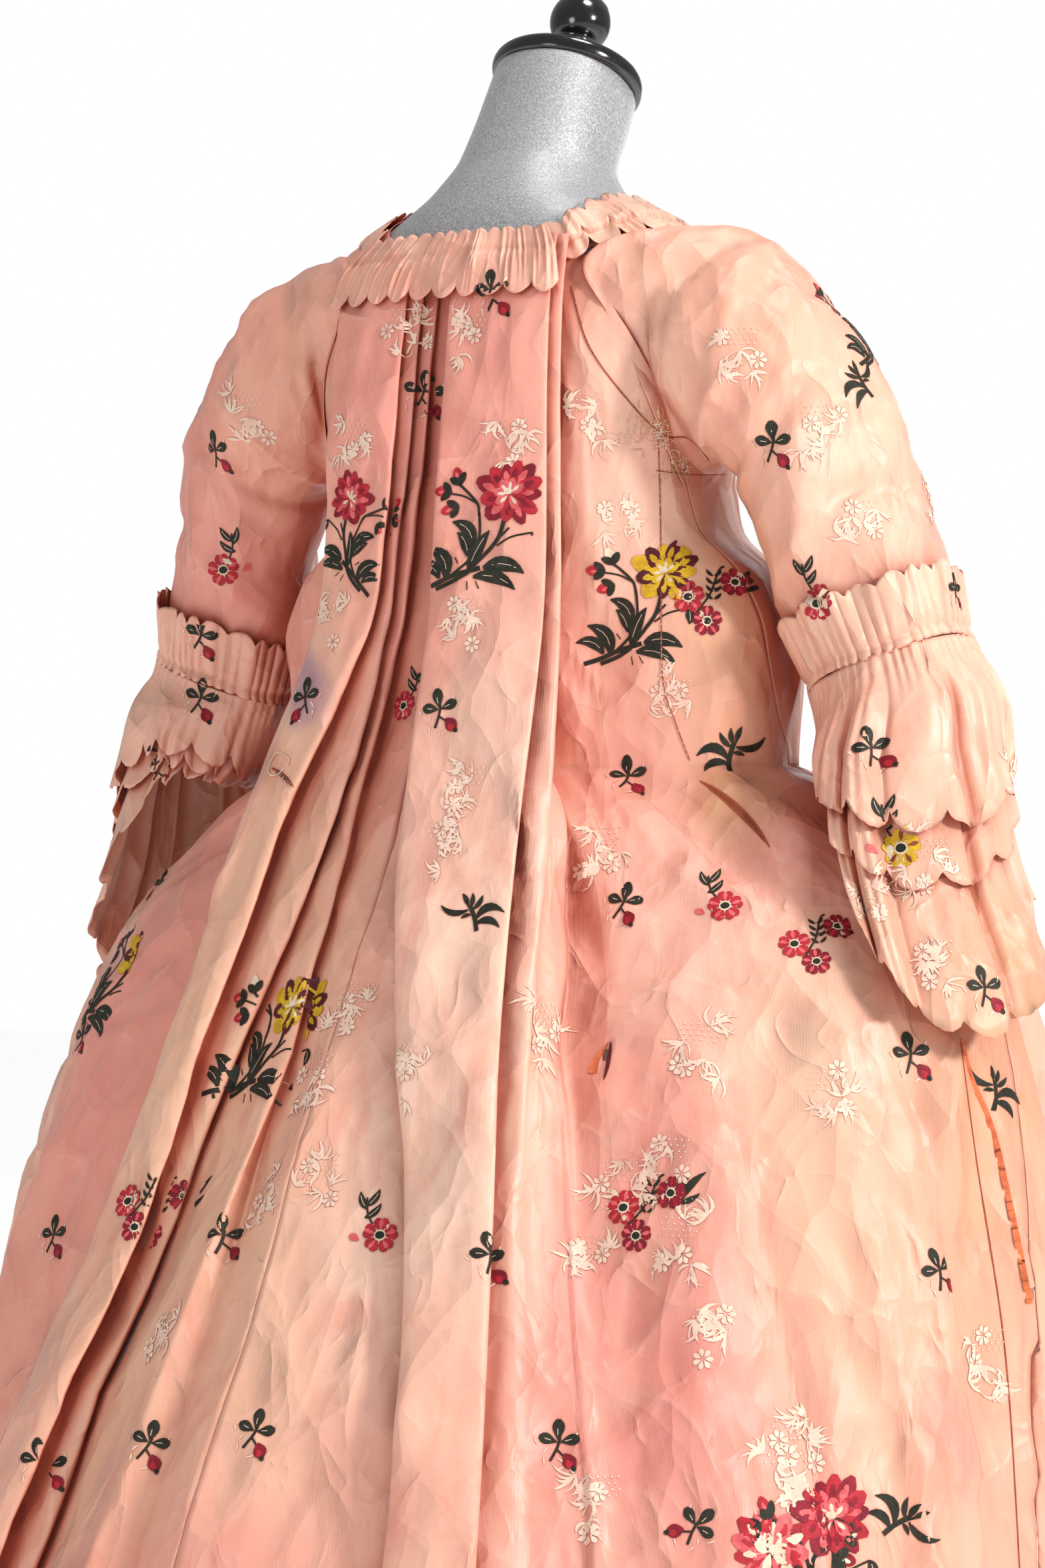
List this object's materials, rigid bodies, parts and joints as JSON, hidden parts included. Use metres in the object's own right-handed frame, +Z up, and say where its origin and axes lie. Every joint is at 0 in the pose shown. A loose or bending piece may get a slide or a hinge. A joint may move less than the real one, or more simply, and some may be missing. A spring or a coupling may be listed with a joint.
{
  "type": "robe a la francaise on a limbless dress form",
  "caption": "Pink silk sack-back gown with box pleats falling from the neck, wide hips and flounced sleeves, standing open in front on a limbless dress form with a round base.",
  "frame": {"origin": "centre of the underside of the stand's base, on the floor", "axes": "+Z up; the gown faces -Y, so its back and train are towards +Y; the wearer's left is +X"},
  "size_m": [1.0129, 0.9108, 1.6163],
  "materials": {
    "silk": "satin",
    "silk_trim": "satin",
    "form_cloth": "satin",
    "lacquer": "gloss"
  },
  "bodies": {
    "root": {"back_left": "silk", "back_right": "silk", "bodice_front_left": "silk", "bodice_front_right": "silk", "skirt_front_left": "silk", "skirt_front_right": "silk", "shoulder_strap_left": "silk", "shoulder_strap_right": "silk", "sleeve_left": "silk", "sleeve_right": "silk", "hip_button_left": "silk", "hip_button_right": "silk", "robing_left": "silk_trim", "robing_right": "silk_trim", "front_ruche_left": "silk_trim", "front_ruche_right": "silk_trim", "shoulder_trim_left": "silk_trim", "shoulder_trim_right": "silk_trim", "cuff_ruche_left": "silk_trim", "cuff_ruche_right": "silk_trim", "flounce_upper_left": "silk_trim", "flounce_upper_right": "silk_trim", "flounce_middle_left": "silk_trim", "flounce_middle_right": "silk_trim", "flounce_lower_left": "silk_trim", "flounce_lower_right": "silk_trim", "neck_ruche": "silk_trim", "form_body": "form_cloth", "form_neck_cap": "lacquer", "form_finial": "lacquer", "form_pole": "lacquer", "form_base": "lacquer"}
  },
  "joints": []
}
